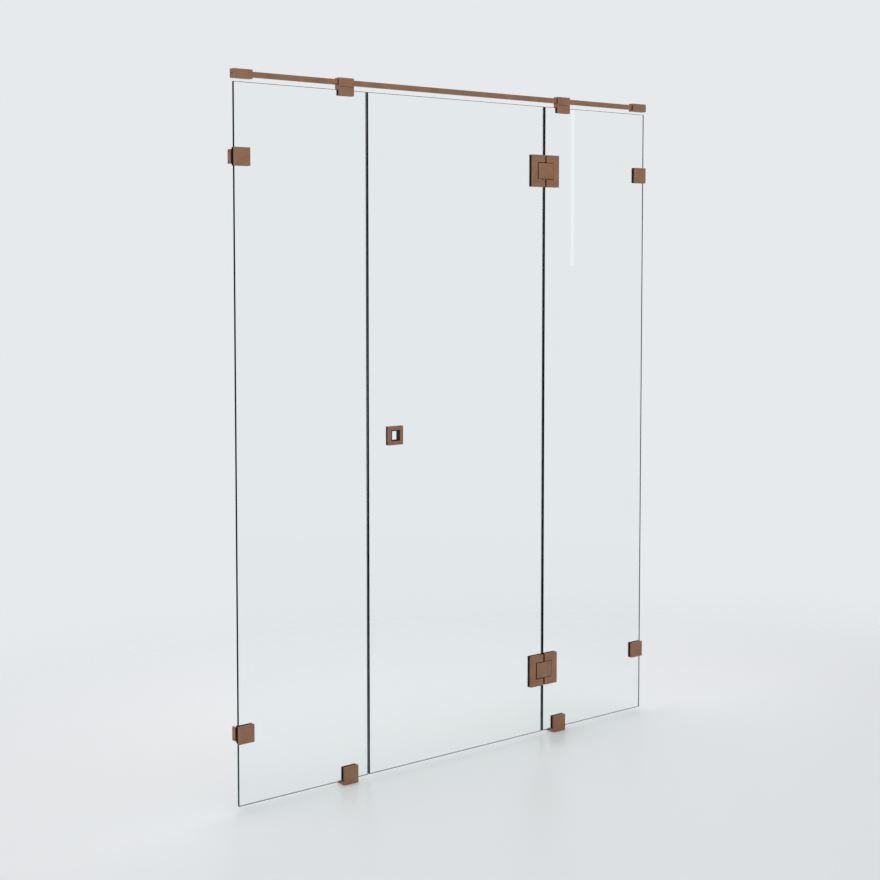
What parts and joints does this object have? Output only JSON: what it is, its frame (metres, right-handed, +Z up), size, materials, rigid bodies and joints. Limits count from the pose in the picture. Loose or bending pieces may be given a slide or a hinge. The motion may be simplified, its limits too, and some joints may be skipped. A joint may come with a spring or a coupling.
{
  "type": "shower door",
  "caption": "Frameless glass shower front for a niche: a hinged glass door between fixed glass panels, held by square copper-coloured clamps and a stabiliser bar.",
  "frame": {"origin": "middle of the niche at finished floor level, in the middle plane of the glass", "axes": "+X to the right along the glass, +Y through the glass into the shower, +Z up"},
  "size_m": [1.6, 0.037, 2.0458],
  "materials": {
    "clear_glass": "clear, polished edges",
    "brushed_copper": "brushed copper plating",
    "black_rubber": "matt black",
    "steel": "stainless, plain",
    "plastic": "matt black"
  },
  "bodies": {
    "fixed_front": {"left_glass_panel": "clear_glass", "right_glass_panel": "clear_glass", "left_upper_wall_clamp_bracket": "brushed_copper", "left_upper_wall_clamp_plate": "brushed_copper", "left_lower_wall_clamp_bracket": "brushed_copper", "left_lower_wall_clamp_plate": "brushed_copper", "left_floor_clamp_bracket": "brushed_copper", "left_floor_clamp_plate": "brushed_copper", "left_bar_socket": "brushed_copper", "left_bar_clamp_block": "brushed_copper", "left_bar_clamp_jaw": "brushed_copper", "right_upper_wall_clamp_bracket": "brushed_copper", "right_upper_wall_clamp_plate": "brushed_copper", "right_lower_wall_clamp_bracket": "brushed_copper", "right_lower_wall_clamp_plate": "brushed_copper", "right_floor_clamp_bracket": "brushed_copper", "right_floor_clamp_plate": "brushed_copper", "right_bar_socket": "brushed_copper", "right_bar_clamp_block": "brushed_copper", "right_bar_clamp_jaw": "brushed_copper", "upper_hinge_knuckle": "brushed_copper", "upper_hinge_fixed_front_plate": "brushed_copper", "upper_hinge_fixed_back_plate": "brushed_copper", "lower_hinge_knuckle": "brushed_copper", "lower_hinge_fixed_front_plate": "brushed_copper", "lower_hinge_fixed_back_plate": "brushed_copper", "stabiliser_bar": "brushed_copper", "wall_clamp_gaskets": "black_rubber", "floor_clamp_gaskets": "black_rubber", "hinge_fixed_gaskets": "black_rubber", "bar_clamp_liners": "black_rubber", "wall_clamp_screws": "steel", "floor_clamp_screws": "steel", "hinge_fixed_screws": "steel", "bar_socket_set_screws": "steel", "bar_clamp_set_screws": "steel", "bar_clamp_joining_screws": "steel", "wall_clamp_sleeves": "plastic", "floor_clamp_sleeves": "plastic", "glass_setting_blocks": "plastic", "hinge_bushes": "plastic"},
    "door": {"door_glass": "clear_glass", "hinge_door_gaskets": "black_rubber", "hinge_door_screws": "steel", "knob_outer_ring": "brushed_copper", "knob_inner_ring": "brushed_copper", "knob_sleeve": "plastic", "knob_gaskets": "black_rubber", "knob_screws": "steel", "upper_hinge_door_front_plate": "brushed_copper", "upper_hinge_door_back_plate": "brushed_copper", "upper_hinge_pin": "steel", "lower_hinge_door_front_plate": "brushed_copper", "lower_hinge_door_back_plate": "brushed_copper", "lower_hinge_pin": "steel"}
  },
  "joints": [
    {"name": "door_swing", "type": "hinge", "parent": "fixed_front", "child": "door", "pos_m": [0.3375, -0.0085, 1.012], "axis": [0, 0, 1], "range_deg": [0, 90]}
  ]
}
